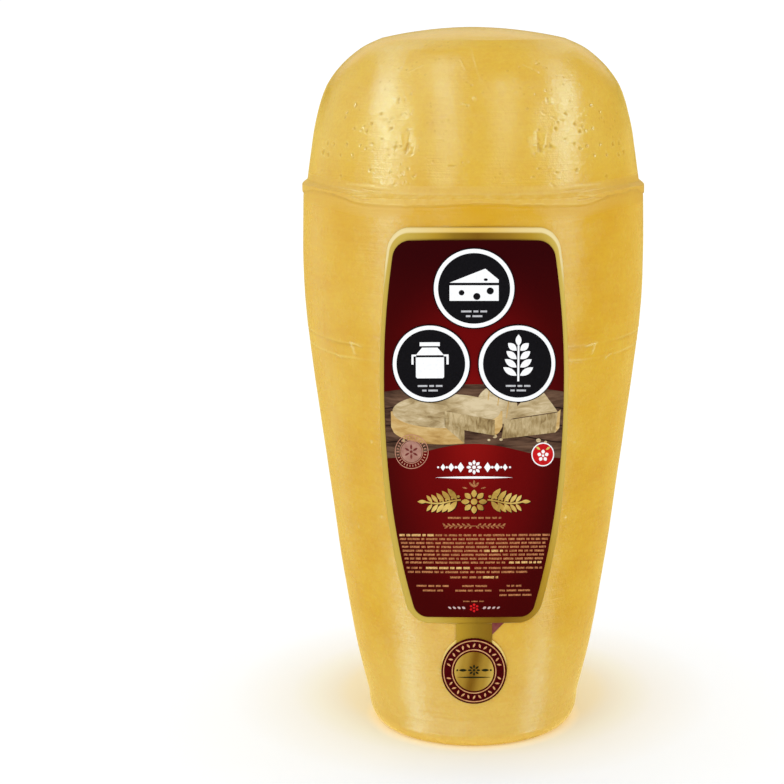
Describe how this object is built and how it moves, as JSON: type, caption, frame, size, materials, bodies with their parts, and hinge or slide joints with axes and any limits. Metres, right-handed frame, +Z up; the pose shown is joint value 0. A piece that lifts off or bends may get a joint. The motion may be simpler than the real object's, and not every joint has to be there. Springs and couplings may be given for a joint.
{
  "type": "whole provolone cheese",
  "caption": "Whole moulded provolone, a tall tapering body with a domed top, a mould ledge and fine parting lines, with a bowed front label and a round seal below it.",
  "frame": {"origin": "centre of the flat foot that the cheese stands on", "axes": "+Z up along the cheese's axis of revolution, the label faces -Y, +X to the right when looking at the label"},
  "size_m": [0.168, 0.1697, 0.3502],
  "materials": {
    "cheese": "satin",
    "gold_foil": "satin metallic",
    "red_print": "satin",
    "charcoal_print": "satin",
    "maroon_print": "satin",
    "mauve_paper": "matte"
  },
  "bodies": {
    "root": {"cheese": "cheese", "label_foil": "gold_foil", "label_field": "red_print", "plaque_top": "charcoal_print", "plaque_left": "charcoal_print", "plaque_right": "charcoal_print", "seal_band": "maroon_print", "seal_centre": "gold_foil", "tab_corner": "mauve_paper"}
  },
  "joints": []
}
